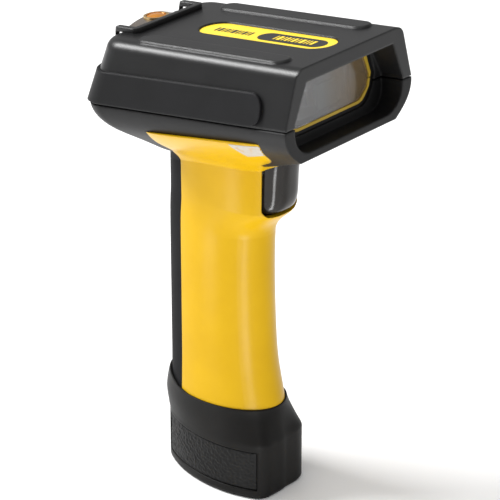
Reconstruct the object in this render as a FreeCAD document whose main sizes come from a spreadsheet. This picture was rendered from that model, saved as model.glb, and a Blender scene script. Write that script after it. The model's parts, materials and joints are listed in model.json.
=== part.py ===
import FreeCAD, Part
import math
import os

import Sketcher

App = FreeCAD
V = App.Vector

# Handheld pistol-grip barcode scanner.
# Frame: +Z up, nose towards -Y, width along X.  The origin is the middle of the flat base.
# The head is drawn in a frame of its own: its parting plane is z = 0, its nose points along -Y,
# and HEAD tilts it nose-up on top of the handle.

SIZES = {
    # head
    "head_pitch": 7.8,
    "head_origin_y": 24.2,
    "head_origin_z": 160.0,
    "half_width": 36.9,
    "half_width_top": 30.4,
    "rear": 18.5,
    "rear_top": 11.8,
    "rear_corner": 10.0,
    "rim_base": -82.7,
    "cover_height": 21.3,
    "wall": 2.5,
    "parting_gap": 0.5,
    "top_edge_radius": 5.0,
    "top_slope": 1.2,
    "top_lift": 0.3,
    "belly_depth": 24.5,
    # nose hood and window
    "hood_top": 15.8,
    "hood_top_half": 25.3,
    "hood_half": 31.6,
    "hood_bottom": -11.5,
    "hood_corner": 9.5,
    "window_plane": -71.5,
    "window_top": 12.0,
    "window_top_half": 23.2,
    "window_half": 25.6,
    "window_bottom": -5.4,
    "window_corner": 6.2,
    "glass_thickness": 1.6,
    "gasket_width": 1.1,
    # things on the cover
    "rib_offset": 23.3,
    "rib_length": 71.0,
    "rib_width": 8.6,
    "rib_height": 1.7,
    "label_length": 62.0,
    "label_width": 15.0,
    "label_recess": 1.0,
    "bay_half": 17.0,
    "bay_front": 3.6,
    "bay_rim": 2.4,
    "bumper_thickness": 1.3,
    "bumper_low": 1.0,
    "bumper_high": 12.3,
    "bumper_front": -71.0,
    # handle
    "grip_rear": 26.5,
    "grip_wall": 2.5,
    "seam_y": 12.2,
    "handle_foot": 31.0,
    # boot
    "boot_half": 18.0,
    "boot_front": -28.5,
    "boot_rear": 28.6,
    "boot_wall": 2.6,
    # trigger
    "trigger_half": 9.9,
    "trigger_gap": 0.6,
    "trigger_top": 142.6,
    "trigger_bottom": 120.4,
    "pivot_y": -21.0,
    "pivot_z": 138.6,
    "pin_radius": 1.5,
    "pin_clearance": 0.05,
    # fasteners
    "screw_radius": 1.3,
    "screw_head_radius": 2.6,
    "boss_radius": 3.4,
}

doc = App.newDocument("BarcodeScanner")
sheet = doc.addObject("Spreadsheet::Sheet", "Sizes")


class Size:
    """A length that carries both its value and the spreadsheet expression behind it."""

    def __init__(self, value, text):
        self.value = value
        self.text = text

    def __add__(self, other):
        other = size(other)
        return Size(self.value + other.value, f"({self.text} + {other.text})")

    def __sub__(self, other):
        other = size(other)
        return Size(self.value - other.value, f"({self.text} - {other.text})")

    def __mul__(self, factor):
        return Size(self.value * factor, f"({self.text} * {factor})")

    def __neg__(self):
        return Size(-self.value, f"(-1 * {self.text})")

    __radd__ = __add__

    def __rsub__(self, other):
        return size(other) - self


def size(value):
    """A Size as it is, or a plain number as a Size."""
    if isinstance(value, Size):
        return value
    return Size(float(value), f"({float(value)})")


for row, (alias, number) in enumerate(SIZES.items(), start=1):
    sheet.set(f"A{row}", alias)
    sheet.set(f"B{row}", str(number))
    sheet.setAlias(f"B{row}", alias)
doc.recompute()
S = {alias: Size(float(sheet.get(alias)), f"Sizes.{alias}") for alias in SIZES}

HEAD = App.Placement(
    V(0, S["head_origin_y"].value, S["head_origin_z"].value),
    App.Rotation(V(1, 0, 0), -S["head_pitch"].value),
)
HERE = App.Placement()
# The cover's top face rises towards the rear: TOP turns the flat top about the nose.
TOP_TURN = App.Rotation(V(1, 0, 0), S["top_slope"].value)
NOSE_TOP = V(0, S["rim_base"].value, S["cover_height"].value)
TOP = App.Placement(NOSE_TOP - TOP_TURN.multVec(NOSE_TOP) + V(0, 0, S["top_lift"].value), TOP_TURN)
HEAD_TOP = HEAD.multiply(TOP)
IN_XY = App.Rotation()
IN_XZ = App.Rotation(V(1, 0, 0), 90)
IN_YZ = App.Rotation(V(1, 1, 1), 120)
AXES = {
    "x": App.Rotation(V(0, 1, 0), 90),
    "y": App.Rotation(V(1, 0, 0), -90),
    "z": App.Rotation(),
}

pieces = []


# ---------------------------------------------------------------- helpers

def bind(obj, prop, value):
    """Bind a property to the sheet through the Size's expression."""
    obj.setExpression(prop, size(value).text)


def place(obj, x, y, z, rotation=None):
    if rotation is not None:
        obj.Placement = App.Placement(V(size(x).value, size(y).value, size(z).value), rotation)
    bind(obj, "Placement.Base.x", x)
    bind(obj, "Placement.Base.y", y)
    bind(obj, "Placement.Base.z", z)


def box(name, x, y, z):
    """A block between two x, two y and two z values."""
    obj = doc.addObject("Part::Box", name)
    bind(obj, "Length", size(x[1]) - x[0])
    bind(obj, "Width", size(y[1]) - y[0])
    bind(obj, "Height", size(z[1]) - z[0])
    place(obj, x[0], y[0], z[0])
    return obj


def rod(name, radius, start, length, axis="z"):
    """A cylinder from start along +axis."""
    obj = doc.addObject("Part::Cylinder", name)
    bind(obj, "Radius", radius)
    bind(obj, "Height", length)
    place(obj, *start, rotation=AXES[axis])
    return obj


def fuse(name, *shapes):
    obj = doc.addObject("Part::MultiFuse", name)
    obj.Shapes = list(shapes)
    obj.Refine = True
    return obj


def cut(name, base, *tools):
    """The base less each tool in turn."""
    for index, tool in enumerate(tools, start=1):
        last = index == len(tools)
        obj = doc.addObject("Part::Cut", name if last else f"{name}Step{index}")
        obj.Base = base
        obj.Tool = tool
        obj.Refine = last
        base = obj
    return base


def common(name, *shapes):
    obj = doc.addObject("Part::MultiCommon", name)
    obj.Shapes = list(shapes)
    obj.Refine = True
    return obj


def fillet(name, base, radius, wanted):
    """Round the edges of base whose midpoint (a Vector) and edge satisfy wanted."""
    doc.recompute()
    chosen = []
    for index, edge in enumerate(base.Shape.Edges, start=1):
        middle = edge.valueAt((edge.FirstParameter + edge.LastParameter) / 2)
        if wanted(middle, edge):
            chosen.append((index, size(radius).value, size(radius).value))
    obj = doc.addObject("Part::Fillet", name)
    obj.Base = base
    obj.Edges = chosen
    return obj


def polygon(name, points, rotation=IN_XY, offset=(0, 0, 0)):
    """A closed sketch through the points, every corner bound to the sheet."""
    sketch = doc.addObject("Sketcher::SketchObject", name)
    count = len(points)
    corners = [V(size(a).value, size(b).value, 0) for a, b in points]
    for i in range(count):
        sketch.addGeometry(Part.LineSegment(corners[i], corners[(i + 1) % count]))
    for i in range(count):
        sketch.addConstraint(Sketcher.Constraint("Coincident", i, 2, (i + 1) % count, 1))
    for i, (a, b) in enumerate(points):
        for kind, value in (("DistanceX", size(a)), ("DistanceY", size(b))):
            number = sketch.addConstraint(Sketcher.Constraint(kind, -1, 1, i, 1, value.value))
            sketch.setExpression(f"Constraints[{number}]", value.text)
    place(sketch, *offset, rotation=rotation)
    return sketch


def prism(name, sketch, direction, length, both_sides=False):
    """Extrude a sketch along direction."""
    obj = doc.addObject("Part::Extrusion", name)
    obj.Base = sketch
    obj.DirMode = "Custom"
    obj.Dir = direction
    bind(obj, "LengthFwd", length)
    obj.Solid = True
    obj.Symmetric = both_sides
    return obj


def plan_prism(name, outline, height):
    """A flat outline extruded upwards."""
    return prism(name, outline, V(0, 0, 1), height)


def side_prism(name, points, half):
    """A side profile (y, z) extruded to both sides of the middle plane."""
    return prism(name, polygon(name + "Profile", points, IN_YZ), V(1, 0, 0), size(half) * 2, True)


def front_prism(name, points, y_from, depth):
    """A front profile (x, z) extruded from y_from towards +Y."""
    sketch = polygon(name + "Profile", points, IN_XZ, (0, y_from, 0))
    return prism(name, sketch, V(0, 1, 0), depth)


def rounded_plan(name, half, front, rear, corner, level):
    """A plan outline, square at the nose end and rounded at its two rear corners."""
    sketch = doc.addObject("Sketcher::SketchObject", name)
    w, f, r, c = (size(value).value for value in (half, front, rear, corner))
    up = V(0, 0, 1)
    sketch.addGeometry([
        Part.LineSegment(V(-w, f, 0), V(w, f, 0)),
        Part.LineSegment(V(w, f, 0), V(w, r - c, 0)),
        Part.ArcOfCircle(Part.Circle(V(w - c, r - c, 0), up, c), 0, math.pi / 2),
        Part.LineSegment(V(w - c, r, 0), V(c - w, r, 0)),
        Part.ArcOfCircle(Part.Circle(V(c - w, r - c, 0), up, c), math.pi / 2, math.pi),
        Part.LineSegment(V(-w, r - c, 0), V(-w, f, 0)),
    ])
    for constraint in (
        ("Coincident", 0, 2, 1, 1), ("Coincident", 5, 2, 0, 1),
        ("Tangent", 1, 2, 2, 1), ("Tangent", 2, 2, 3, 1),
        ("Tangent", 3, 2, 4, 1), ("Tangent", 4, 2, 5, 1),
        ("Symmetric", 0, 1, 0, 2, -2), ("Vertical", 1), ("Vertical", 5), ("Equal", 2, 4),
    ):
        sketch.addConstraint(Sketcher.Constraint(*constraint))
    for constraint, value in (
        (("DistanceX", 0, 1, 0, 2), size(half) * 2),
        (("DistanceY", -1, 1, 0, 1), size(front)),
        (("DistanceY", -1, 1, 3, 1), size(rear)),
        (("Radius", 2), size(corner)),
    ):
        number = sketch.addConstraint(Sketcher.Constraint(*constraint, value.value))
        sketch.setExpression(f"Constraints[{number}]", value.text)
    place(sketch, 0, 0, level)
    return sketch


def egg(name, half, front, rear, level, widest=None, power=(2.0, 2.0), tilt=HERE):
    """A smooth closed plan curve, widest at one y, with its own superellipse power at each end."""
    half, front, rear, level = (size(value).value for value in (half, front, rear, level))
    middle = (front + rear) / 2 if widest is None else widest
    points = []
    steps = 32
    for i in range(steps):
        turn = math.pi / 4 + 2 * math.pi * i / steps
        across, along = math.cos(turn), math.sin(turn)
        reach = rear - middle if along > 0 else middle - front
        exponent = 2 / (power[1] if along > 0 else power[0])
        x = math.copysign(abs(across) ** exponent, across) * half
        y = math.copysign(abs(along) ** exponent, along) * reach + middle
        points.append(tilt.multVec(V(x, y, level)))
    curve = Part.BSplineCurve()
    curve.interpolate(Points=points, PeriodicFlag=True)
    joins = [curve.parameter(points[i]) for i in range(0, steps, steps // 4)]
    joins = [curve.FirstParameter] + joins[1:] + [curve.LastParameter]
    obj = doc.addObject("Part::Feature", name)
    obj.Shape = Part.Wire([curve.toShape(start, end) for start, end in zip(joins, joins[1:])])
    return obj


def loft(name, sections, ruled=False):
    obj = doc.addObject("Part::Loft", name)
    obj.Sections = sections
    obj.Solid = True
    obj.Ruled = ruled
    return obj


def piece(node, obj, placement=None):
    """Register a finished sub-part under its node name, moved to its place on the object."""
    if placement is not None:
        obj = moved_copy(node.title().replace("_", "") + "Placed", obj, placement)
    obj.Label = node
    pieces.append((node, obj))
    return obj


def moved_copy(name, obj, placement):
    """The object, drawn in its own frame, moved by placement."""
    moved = doc.addObject("Part::Compound", name)
    moved.Links = [obj]
    moved.Placement = placement
    return moved


# ---------------------------------------------------------------- head envelope (head frame)

LONG = 90.0
HALF_AT = (S["half_width"], S["half_width_top"])
REAR_AT = (S["rear"], S["rear_top"])


def cover_block(name, inset=0, low=0, high=None):
    """The cover's tapered block between two heights, all its walls moved in by inset."""
    high = S["cover_height"] if high is None else size(high)
    low = size(low)
    sections = []
    for tag, level in (("Low", low), ("High", high)):
        share = level.value / S["cover_height"].value
        half = HALF_AT[0] * (1 - share) + HALF_AT[1] * share - inset
        rear = REAR_AT[0] * (1 - share) + REAR_AT[1] * share - inset
        sections.append(rounded_plan(name + tag, half, -LONG, rear, S["rear_corner"] - inset, level))
    return loft(name, sections, ruled=True)


# Plan sizes of the belly at five depths: share of full depth, half width, rear end, corner.
BELLY = ((0.0, 36.9, 18.4, 10.0), (0.16, 36.7, 17.4, 10.5), (0.36, 34.2, 14.4, 11.0),
         (0.54, 29.4, 10.8, 11.5), (0.74, 22.6, 7.0, 11.0), (1.0, 11.5, 0.6, 9.0))


def belly_block(name, inset=0, top=0):
    """The lower shell's rounded belly, its walls moved in by inset and its floor up by inset."""
    depth = S["belly_depth"] - inset
    sections = []
    for index, (share, half, rear, corner) in enumerate(BELLY):
        level = -(depth * share) + (top if share == 0 else 0)
        sections.append(rounded_plan(f"{name}{index}", size(half) - inset, -LONG,
                                     size(rear) - inset, max(corner - size(inset).value, 4), level))
    return loft(name, sections)


def rim_cutter(name, forward=0):
    """Everything in front of the upright rim plane of the nose."""
    pitch = math.radians(S["head_pitch"].value)
    lean = math.tan(pitch)
    low, high = -40.0, 40.0
    points = [(S["rim_base"] - lean * low - forward, low), (S["rim_base"] - lean * high - forward, high),
              (-LONG - 20, high), (-LONG - 20, low)]
    return side_prism(name, points, 60)


def nose_underside(name, inset=0):
    """Everything under the nose and the rear slope, seen from the side."""
    points = [(-LONG - 10, -14.0 + inset), (-80.7, -14.4 + inset), (-57.0, -21.8 + inset),
              (-50.0, -24.0 + inset), (-40.0, -45.0), (-LONG - 10, -45.0)]
    return side_prism(name, points, 60)


def hood_opening(name):
    """The opening through the nose rim, as far back as the window frame."""
    half, bottom = S["hood_half"], S["hood_bottom"]
    points = [(-S["hood_top_half"], S["hood_top"]), (-half, 1.5), (-half + 0.3, bottom),
              (half - 0.3, bottom), (half, 1.5), (S["hood_top_half"], S["hood_top"])]
    block = front_prism(name + "Block", points, -LONG, S["window_plane"] + LONG - 1.0)
    return rounded_along_y(name, block, S["hood_corner"], bottom)


def window_outline(name, grow, y_from, depth):
    """The window's outline, grown by grow, as a prism."""
    half, top_half = S["window_half"] + grow, S["window_top_half"] + grow
    top, bottom = S["window_top"] + grow, S["window_bottom"] - grow
    points = [(-top_half, top), (-half, 3.2), (-half + 1.8, -1.6), (-half + 6.6, bottom),
              (half - 6.6, bottom), (half - 1.8, -1.6), (half, 3.2), (top_half, top)]
    block = front_prism(name + "Block", points, y_from, depth)
    return rounded_along_y(name, block, S["window_corner"] + grow, bottom)


def rounded_along_y(name, block, radius, bottom):
    """The prism with its two lower corners rounded."""
    return fillet(name, block, radius, lambda mid, edge: mid.z < size(bottom).value + 0.5
                  and abs(edge.tangentAt(edge.FirstParameter).y) > 0.9)


def stadium(name, length, width, centre, low, high):
    """An upright plate with round ends, long along Y."""
    radius = size(width) * 0.5
    reach = size(length) * 0.5 - radius
    x, y = centre
    return fuse(
        name,
        box(name + "Web", (size(x) - radius, size(x) + radius),
            (size(y) - reach, size(y) + reach), (low, high)),
        rod(name + "Front", radius, (x, size(y) - reach, low), size(high) - low),
        rod(name + "Rear", radius, (x, size(y) + reach, low), size(high) - low),
    )


gap = S["parting_gap"] * 0.5
LABEL_Y = -46.5
BAY_FLOOR = 17.4
LENS_Y = 8.7
LENS_RING, LENS = 4.9, 3.9
LENS_LOW = 17.9
PLATE_SCREW_X = 12.2
HEAD_BOSSES = ((-24.0, 4.0), (24.0, 4.0))
BOSS_HEIGHT = 19.0
BOARD_POSTS = ((-18.0, -52.0), (18.0, -52.0), (-17.0, -8.0), (17.0, -8.0))


# ---------------------------------------------------------------- upper cover

def make_upper_cover():
    """The black upper half of the head, with its two ribs, label recess and rear bay."""
    tall = cover_block("CoverBlock", 0, 0, S["cover_height"] + 4)
    above = moved_copy("AboveTop", box("AboveTopBlock", (-60, 60), (-LONG - 20, 60),
                                       (S["cover_height"], 60)), TOP)
    block = fillet("CoverRounded", cut("CoverNosed", tall, above, rim_cutter("CoverRim")),
                   S["top_edge_radius"],
                   lambda middle, edge: middle.z > 20.9 and middle.y > -84.5)
    ribs = []
    for side in (-1, 1):
        rib = stadium(f"Rib{side + 1}", S["rib_length"], S["rib_width"],
                      (S["rib_offset"] * side, -40.4), 17.5, S["cover_height"] + S["rib_height"] - 0.8)
        ribs.append(fillet(f"RibRound{side + 1}", rib, 0.85,
                           lambda middle, edge: middle.z > 20.0))
    raised = moved_copy("RibsTilted", fuse("Ribs", *ribs), TOP)
    cavity = cut("CoverHollow", cover_block("CoverCavity", S["wall"], 0, S["cover_height"] - S["wall"]),
                 box("CoverHollowStop", (-60, 60), (-LONG - 10, S["window_plane"] + 1.0), (-5, 30)))
    recess = stadium("LabelRecess", S["label_length"] + 0.6, S["label_width"] + 0.6, (0, LABEL_Y),
                     S["cover_height"] - S["label_recess"], 30)
    pocket = box("BayPocket", (-S["bay_half"], S["bay_half"]), (S["bay_front"], 30), (BAY_FLOOR, 30))
    floor_gap = box("CoverGap", (-60, 60), (-LONG - 20, 60), (-5, gap))
    bosses = []
    holes = []
    for index, (x, y) in enumerate(HEAD_BOSSES):
        bosses.append(rod(f"CoverBoss{index}", S["boss_radius"], (x, y, gap), BOSS_HEIGHT))
        holes.append(rod(f"CoverBossHole{index}", S["screw_radius"], (x, y, -1), 9.0))
    window_seat = window_outline("CoverWindowSeat", 2.6, S["window_plane"] - 2, 10)
    shell = cut("CoverShell", fuse("CoverSolid", block, raised), cavity, hood_opening("CoverHood"),
                moved_copy("LabelRecessTilted", recess, TOP), moved_copy("BayPocketTilted", pocket, TOP),
                window_seat)
    cover = cut("UpperCover", fuse("CoverBossed", shell, *bosses), *holes, floor_gap)
    piece("upper_cover", cover, HEAD)


def make_lower_shell():
    """The black lower half of the head: hood floor, belly and the opening into the handle."""
    body = cut("BellyOuter", belly_block("BellyBlock"), rim_cutter("BellyRim"), nose_underside("BellyNose"))
    top_gap = box("BellyGap", (-60, 60), (-LONG - 20, 60), (-gap, 5))
    cavity = cut("BellyHollow", belly_block("BellyCavity", S["wall"], 1), nose_underside("BellyFloor", 2.6),
                 box("BellyHollowStop", (-60, 60), (-LONG - 10, S["window_plane"] + 1.0), (-40, 5)))
    neck = box("NeckOpening", (-10.5, 10.5), (-50, -4), (-40, -12))
    posts = [rod(f"BoardPost{index}", 2.0, (x, y, -24), 24 - 13.2)
             for index, (x, y) in enumerate(BOARD_POSTS)]
    window_seat = window_outline("BellyWindowSeat", 2.6, S["window_plane"] - 2, 10)
    bosses = []
    holes = []
    for index, (x, y) in enumerate(HEAD_BOSSES):
        boss = rod(f"BellyBoss{index}", S["boss_radius"] + 0.6, (x, y, -16), 16 - gap)
        bosses.append(boss)
        holes.append(rod(f"BellyHole{index}", S["screw_radius"] + 0.15, (x, y, -30), 31))
        holes.append(rod(f"BellyCounterbore{index}", S["screw_head_radius"] + 0.3, (x, y, -34), 34 - 4.5))
    inside = common("BellyBossInside", fuse("BellyBosses", *bosses, *posts), belly_block("BellyTrim"))
    shell = cut("BellyShell", body, cavity, hood_opening("BellyHood"), window_seat)
    shell = cut("LowerShell", fuse("BellyBossed", shell, inside), top_gap, neck, *holes)
    return piece("lower_shell", shell, HEAD)


def make_head_seal():
    """The thin seal in the parting line, set back so that a dark groove shows."""
    outer = rounded_plan("SealOuter", S["half_width"] - 0.9, S["rim_base"] + 1.0, S["rear"] - 0.9, 9.1, -gap)
    inner = rounded_plan("SealInner", S["half_width"] - 2.4, -LONG, S["rear"] - 2.4, 7.6, -gap)
    ring = cut("HeadSeal", prism("SealBlock", outer, V(0, 0, 1), S["parting_gap"]),
               prism("SealInside", inner, V(0, 0, 1), S["parting_gap"]))
    return piece("head_seal", ring, HEAD)


# ---------------------------------------------------------------- trims on the head

def make_side_bumper():
    """Rubber band round the rear and both sides, with a rounded front end on each side."""
    thick = S["bumper_thickness"]
    outer = cover_block("BumperOuter", -thick, S["bumper_low"], S["bumper_high"])
    inner = cover_block("BumperInner", 0, S["bumper_low"] - 1, S["bumper_high"] + 1)
    reach = side_prism("BumperReach", [
        (S["bumper_front"], S["bumper_low"]), (60, S["bumper_low"]),
        (60, S["bumper_high"]), (S["bumper_front"], S["bumper_high"]),
    ], 60)
    reach = fillet("BumperEnd", reach, 4.6,
                   lambda mid, edge: abs(mid.y - S["bumper_front"].value) < 0.1 and abs(mid.x) < 1)
    band = common("SideBumper", cut("BumperBand", outer, inner), reach)
    return piece("side_bumper", band, HEAD)


def make_window_parts():
    """Bezel, split gasket and glass, stacked in the plane behind the hood."""
    plane = S["window_plane"]
    step = S["gasket_width"]
    seat = window_outline("BezelOuter", 2.6, plane, 2.4)
    bezel = cut("WindowBezel", seat, window_outline("BezelInner", step, plane - 1, 5))
    piece("window_bezel", bezel, HEAD)
    for node, low, high in (("window_gasket_upper", 1.7, 30), ("window_gasket_lower", -30, 1.2)):
        tag = node.title().replace("_", "")
        ring = cut(tag + "Ring", window_outline(tag + "Outer", step, plane - 0.3, 2.2),
                   window_outline(tag + "Inner", 0, plane - 1, 5))
        piece(node, common(tag, ring, box(tag + "Half", (-60, 60), (-90, -60), (low, high))), HEAD)
    piece("scan_window", window_outline("ScanWindow", 0, plane + 0.2, S["glass_thickness"]), HEAD)


def make_name_label():
    """The name plate, sunk in its recess."""
    low = S["cover_height"] - S["label_recess"]
    plate = stadium("NameLabel", S["label_length"], S["label_width"], (0, LABEL_Y), low, low + 0.4)
    return piece("name_label", plate, HEAD_TOP)


def make_indicator():
    """Raised rim round the rear bay, with the smoky plate, amber lens, ring and two screws in it."""
    rim = S["bay_rim"]
    half, front = S["bay_half"], S["bay_front"]
    top = S["cover_height"] + 1.9
    outer = [(-half - rim, front - rim), (half + rim, front - rim),
             (half + rim, 13.6), (-half - rim, 13.6)]
    inner = [(-half, front), (half, front), (half, 20), (-half, 20)]
    block = prism("RimBlock", polygon("RimOuter", outer, offset=(0, 0, BAY_FLOOR)), V(0, 0, 1),
                  top - BAY_FLOOR)
    block = fillet("RimRound", block, 2.2, lambda mid, edge: abs(mid.z - 20) < 1.5
                   and abs(edge.tangentAt(edge.FirstParameter).z) > 0.9)
    hollow = prism("RimHollow", polygon("RimInner", inner, offset=(0, 0, 10)), V(0, 0, 1), 30)
    shoulder = side_prism("RimShoulder", [(9.5, 30), (30, 30), (30, 10), (13.6, 17)], 60)
    surround = cut("IndicatorRim", block, hollow, shoulder, cover_seat("RimSeat"))
    piece("indicator_rim", surround, HEAD_TOP)

    arch_radius = 40.0
    arch_z = 22.2 - arch_radius
    drum = rod("ArchDrum", arch_radius, (0, front + 0.2, arch_z), 12.0, "y")
    core = box("ArchBody", (-half + 0.2, half - 0.2), (front + 0.2, 13.2), (BAY_FLOOR + 0.1, 30))
    arch = common("ArchPlate", drum, core)
    seat = rod("LensSeat", LENS_RING, (0, LENS_Y, LENS_LOW), 10)
    screw_seats = [rod(f"PlateHole{i}", 1.5, (x, LENS_Y, 19.2), 10)
                   for i, x in enumerate((-PLATE_SCREW_X, PLATE_SCREW_X))]
    plate = cut("IndicatorPlate", arch, seat, *screw_seats)
    piece("indicator_plate", plate, HEAD_TOP)
    ring = cut("LensRing", rod("LensRingOuter", LENS_RING, (0, LENS_Y, LENS_LOW), 4.9),
               rod("LensRingBore", LENS, (0, LENS_Y, LENS_LOW - 0.4), 8))
    piece("lens_ring", ring, HEAD_TOP)
    dome = doc.addObject("Part::Sphere", "LensDome")
    bind(dome, "Radius", 9.0)
    place(dome, 0, LENS_Y, 14.2)
    lens = common("IndicatorLens", dome, rod("LensBody", LENS, (0, LENS_Y, LENS_LOW), 8))
    piece("indicator_lens", lens, HEAD_TOP)
    screws = []
    for index, x in enumerate((-PLATE_SCREW_X, PLATE_SCREW_X)):
        head = rod(f"PlateScrewHead{index}", 1.5, (x, LENS_Y, 19.2), 1.6)
        slot = box(f"PlateScrewSlot{index}", (x - 2, x + 2), (LENS_Y - 0.25, LENS_Y + 0.25), (20.3, 24))
        screws.append(cut(f"PlateScrew{index}", head, slot))
    piece("indicator_screws", fuse("IndicatorScrews", *screws), HEAD_TOP)


def cover_seat(name):
    """The cover's own material, which nothing seated on it may overlap."""
    body = cut(name + "Body", cover_block(name + "Block", 0, 0, S["cover_height"]),
               box(name + "Bay", (-S["bay_half"], S["bay_half"]), (S["bay_front"], 30), (BAY_FLOOR, 30)))
    return body


# ---------------------------------------------------------------- grip (object frame)

# Plan sizes up the handle: height, half width, front end, power of the front and rear curve.
GRIP = ((30.0, 16.4, -25.6, 2.0), (42.0, 16.2, -23.8, 2.0), (50.0, 15.8, -22.2, 2.0),
        (62.0, 15.6, -20.8, 2.0), (78.0, 15.5, -20.0, 2.0), (96.0, 15.5, -19.7, 2.0),
        (108.0, 15.5, -20.1, 2.0))
CHIN = ((108.0, 15.5, -20.1, 2.0), (111.2, 15.5, -21.0, 2.1), (114.4, 15.5, -23.2, 2.3),
        (117.6, 15.5, -26.6, 2.5), (120.8, 15.6, -28.9, 2.7))
NECK = ((120.8, 15.6, -28.9, 2.7), (146.0, 15.9, -29.0, 2.7))
# Plan sizes of the saddle in the head frame: depth, half width, front end, rear end, power.
SADDLE = ((-28.0, 14.6, -50.0, 4.0, 2.6), (-24.4, 16.8, -57.0, 3.0, 2.8),
          (-20.5, 21.6, -66.0, 1.2, 3.4), (-16.5, 27.2, -71.5, -0.8, 4.6),
          (-12.0, 32.5, -74.2, -3.4, 6.0), (-8.5, 36.0, -75.0, -5.2, 6.5), (-5.0, 38.0, -75.2, -6.0, 6.5))
# Height of the saddle's upper edge in the head frame, at y = 60 and at y = -120.
SADDLE_EDGE = (-12.0, -3.8)
HANDLE_SCREWS = (112.0,)
PIN_REACH = 11.6


def grip_sections(name, rows, inset=0):
    return [egg(f"{name}{index}", size(half) - inset, size(front) + inset, S["grip_rear"] - inset, level,
                power=(power, 2.0))
            for index, (level, half, front, power) in enumerate(rows)]


def saddle_sections(name, inset=0):
    return [egg(f"{name}{index}", size(half) - inset, size(front) + inset, size(rear) - inset, level,
                power=(power, power), tilt=HEAD)
            for index, (level, half, front, rear, power) in enumerate(SADDLE)]


def grip_solid(name, inset=0):
    """The whole pistol grip: the straight handle, the chin under the trigger and the flared saddle."""
    lower = loft(name + "Handle", grip_sections(name + "Grip", GRIP, inset))
    chin = loft(name + "Chin", grip_sections(name + "Lip", CHIN, inset))
    neck = loft(name + "Column", grip_sections(name + "Neck", NECK, inset), ruled=True)
    saddle = loft(name + "Saddle", saddle_sections(name + "Flare", inset))
    return fuse(name, lower, chin, neck, saddle)


def belly_solid(name):
    """The outside of the lower shell, closed and solid."""
    return cut(name, belly_block(name + "Block"), rim_cutter(name + "Rim"), nose_underside(name + "Nose"))


def seam_side(name, offset=0):
    """Everything behind the seam between the front shell and the rear strip."""
    seam = S["seam_y"] + offset
    return side_prism(name, [(seam, 10), (seam, 135), (seam + 0.4, 136.2), (seam + 1.3, 137.3),
                             (seam + 3.0, 138.2), (seam + 7, 139.4), (70, 140.4), (70, 10)], 60)


def trigger_window(name, spread=0, back=-8):
    """The opening in the front of the grip that the trigger works in."""
    half = S["trigger_half"] + S["trigger_gap"] + spread
    low, high = S["trigger_bottom"] - 0.9 - spread, 170
    block = box(name + "Block", (-half, half), (-60, back), (low, high))
    return fillet(name, block, 3.6,
                  lambda mid, edge: abs(mid.z - size(low).value) < 0.1 and abs(mid.y) < 60
                  and abs(edge.tangentAt(edge.FirstParameter).y) > 0.9)


def make_handle():
    """The yellow front shell with its saddle, and the black strip that closes the back."""
    belly = moved_copy("BellyPlug", belly_solid("Belly"), HEAD)
    grip = grip_solid("Grip")
    inner = grip_solid("GripInner", S["grip_wall"])
    outer = cut("GripOuter", grip, belly)
    behind = seam_side("SeamBehind")
    foot = box("HandleFoot", (-60, 60), (-60, 60), (20, S["handle_foot"]))
    hollow = common("GripHollow", inner, box("HollowReach", (-60, 60), (-60, 60), (20, 139)))
    above = [(60, SADDLE_EDGE[0]), (-120, SADDLE_EDGE[1]), (-120, 60), (60, 60)]
    head_face = moved_copy("SaddleTop", side_prism("SaddleTopBlock", above, 70), HEAD)
    front = cut("FrontBlank", outer, behind, foot, head_face, hollow, trigger_window("TriggerWindow"))

    pivot = S["pivot_y"]
    blanks = cut("PinBlanks", box("PinWalls", (-14.8, 14.8), (pivot - 4.2, pivot + 4.2), (132.5, 143.5)),
                 box("PinGap", (-10.6, 10.6), (-40, 10), (120, 150)), belly)
    walls = common("PinBlocks", blanks, grip)
    pin_hole = rod("PinHole", S["pin_radius"], (-PIN_REACH, pivot, S["pivot_z"]), 2 * PIN_REACH, "x")
    foot_tube = cut("CapScrewTube", box("CapScrewPost", (-4, 4), (-24.5, -13.2), (S["handle_foot"], 46)),
                    rod("CapScrewThread", 1.5, (0, -17, 30), 13))
    additions = [cut("PinBlocksBored", walls, pin_hole), common("CapScrewSocket", foot_tube, grip)]
    holes = []
    for index, height in enumerate(HANDLE_SCREWS):
        rail = box(f"BossRail{index}", (-13.6, 13.6), (10.4, S["seam_y"]), (height - 2, height + 2))
        additions.append(common(f"BossRib{index}", rail, grip))
        additions.append(rod(f"HandleBoss{index}", S["boss_radius"], (0, 8.0, height), S["seam_y"] - 8.0, "y"))
        holes.append(rod(f"HandleBossHole{index}", S["screw_radius"], (0, 6.0, height), 12, "y"))
    shell = cut("HandleShell", fuse("FrontJoined", cut("FrontBored", front, pin_hole), *additions), *holes)
    piece("handle_shell", shell)

    rear = common("RearBlank", outer, behind)
    rear_hollow = common("RearHollow", inner, box("RearReach", (-60, 60), (-60, 60), (20, 138)))
    pads = []
    holes = []
    for index, height in enumerate(HANDLE_SCREWS):
        pads.append(rod(f"RearPad{index}", S["boss_radius"], (0, S["seam_y"], height), 12.8, "y"))
        holes.append(rod(f"RearHole{index}", S["screw_radius"] + 0.15, (0, 10, height), 30, "y"))
        holes.append(rod(f"RearCounterbore{index}", S["screw_head_radius"] + 0.25, (0, 22.6, height), 10, "y"))
    strip = fuse("RearPadded", cut("RearHollowed", rear, rear_hollow, foot), *pads)
    piece("handle_back", cut("HandleBack", strip, *holes))


# ---------------------------------------------------------------- boot and battery (object frame)

# The boot's half outline seen from above: flat front, bulging sides, round rear.
OUTLINE = ((0, -28.5), (5.5, -28.5), (10.2, -28.1), (12.9, -26.5), (14.6, -23.8), (16.3, -18.6),
           (17.6, -12.6), (18.0, -6.8), (17.8, -1.0), (16.9, 5.0), (15.2, 11.5), (12.2, 18.5),
           (7.2, 25.4), (0, 28.6))
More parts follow.
